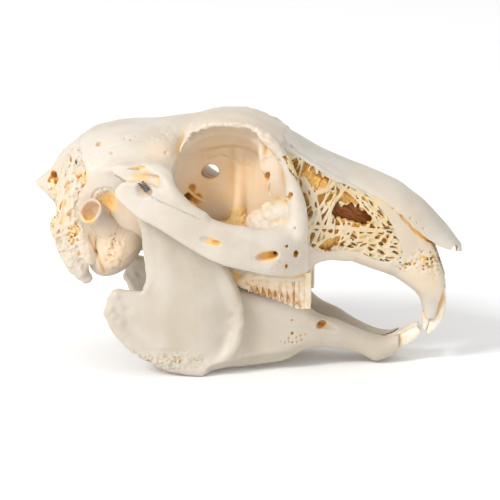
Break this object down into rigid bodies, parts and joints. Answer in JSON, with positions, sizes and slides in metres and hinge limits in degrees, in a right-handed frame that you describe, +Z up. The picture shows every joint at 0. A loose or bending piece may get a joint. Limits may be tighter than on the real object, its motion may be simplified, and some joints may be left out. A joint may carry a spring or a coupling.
{
  "type": "rabbit skull",
  "caption": "Life-size rabbit skull with its lower jaw closed, the bones parted along their sutures, standing on the jaw as on a table.",
  "frame": {"origin": "centre of the bounding box's underside, on the table the lower jaw stands on", "axes": "+X from the back of the head to the snout, +Y to the animal's left, +Z up from the table"},
  "size_m": [0.0926, 0.0438, 0.055],
  "materials": {
    "bone": "degreased and bleached bone, dry and matt",
    "tooth": "pale incisor enamel with a soft sheen",
    "spring": "drawn spring steel wire"
  },
  "bodies": {
    "root": {"braincase": "bone", "frontal": "bone", "nasal_right": "bone", "nasal_left": "bone", "premaxilla_right": "bone", "premaxilla_left": "bone", "maxilla_right": "bone", "maxilla_left": "bone", "zygomatic_right": "bone", "zygomatic_left": "bone", "bulla_right": "bone", "bulla_left": "bone", "mandible_right": "bone", "mandible_left": "bone", "upper_incisor_right": "tooth", "upper_incisor_left": "tooth", "peg_tooth_right": "tooth", "peg_tooth_left": "tooth", "lower_incisor_right": "tooth", "lower_incisor_left": "tooth", "spring_right": "spring", "spring_left": "spring"}
  },
  "joints": []
}
